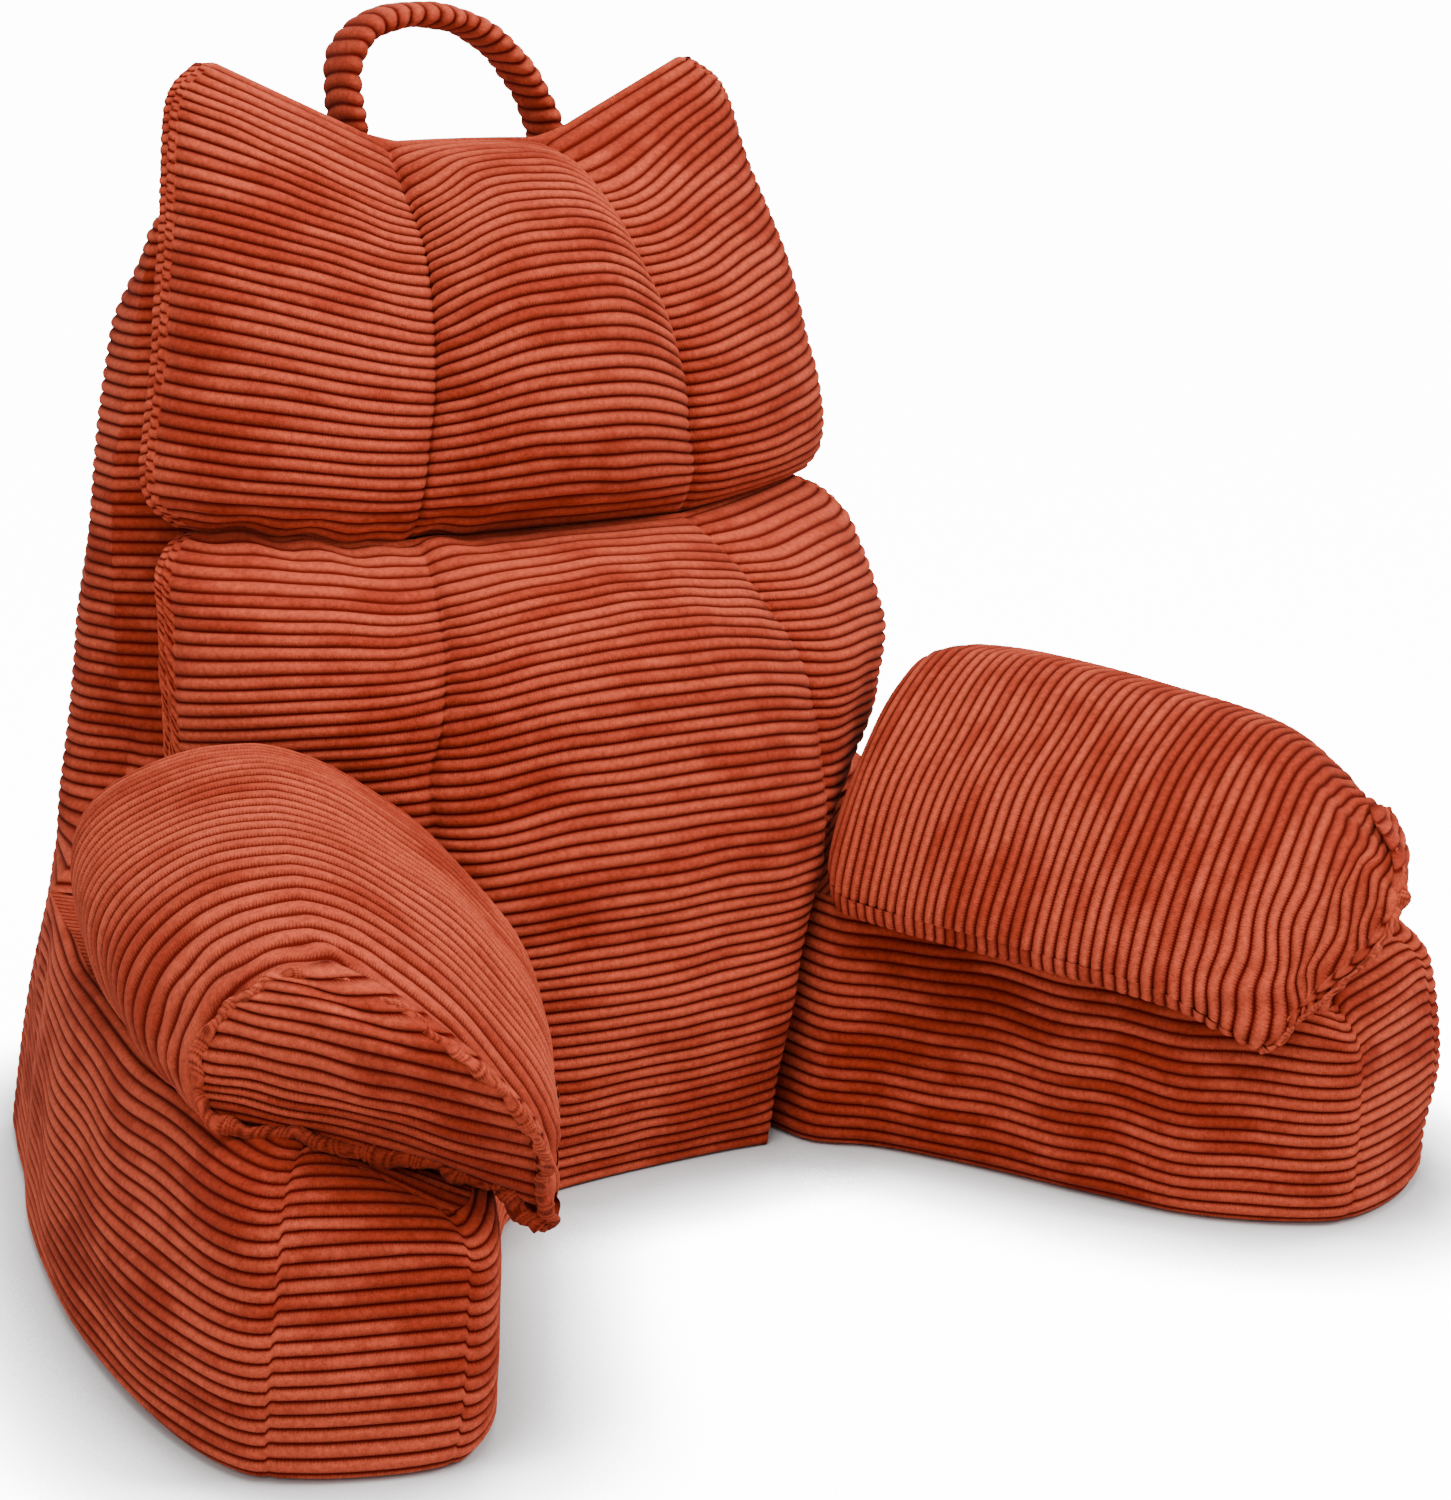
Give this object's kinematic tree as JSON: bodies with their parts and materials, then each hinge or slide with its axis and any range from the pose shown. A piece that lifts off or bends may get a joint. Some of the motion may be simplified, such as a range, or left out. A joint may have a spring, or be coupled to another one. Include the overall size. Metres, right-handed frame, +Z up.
{
  "type": "reading pillow with arms",
  "caption": "Upholstered corduroy bed rest pillow: a slanted back with a channelled head cushion and lumbar cushion, splayed padded arms and a carry loop on top.",
  "frame": {"origin": "on the floor, under the middle of the pillow's bounding box", "axes": "+X from arm to arm towards the right-hand pad as seen from the front, -Y the way the pillow faces, +Z up"},
  "size_m": [0.6796, 0.5831, 0.5783],
  "materials": {
    "body": "rust wide-wale corduroy",
    "head_cushion": "rust wide-wale corduroy",
    "lumbar_cushion": "rust wide-wale corduroy",
    "arm_pad_left": "rust wide-wale corduroy",
    "arm_pad_right": "rust wide-wale corduroy",
    "carry_handle": "rust wide-wale corduroy, gathered"
  },
  "bodies": {
    "root": {"body": "body", "head_cushion": "head_cushion", "lumbar_cushion": "lumbar_cushion", "arm_pad_left": "arm_pad_left", "arm_pad_right": "arm_pad_right", "carry_handle": "carry_handle"}
  },
  "joints": []
}
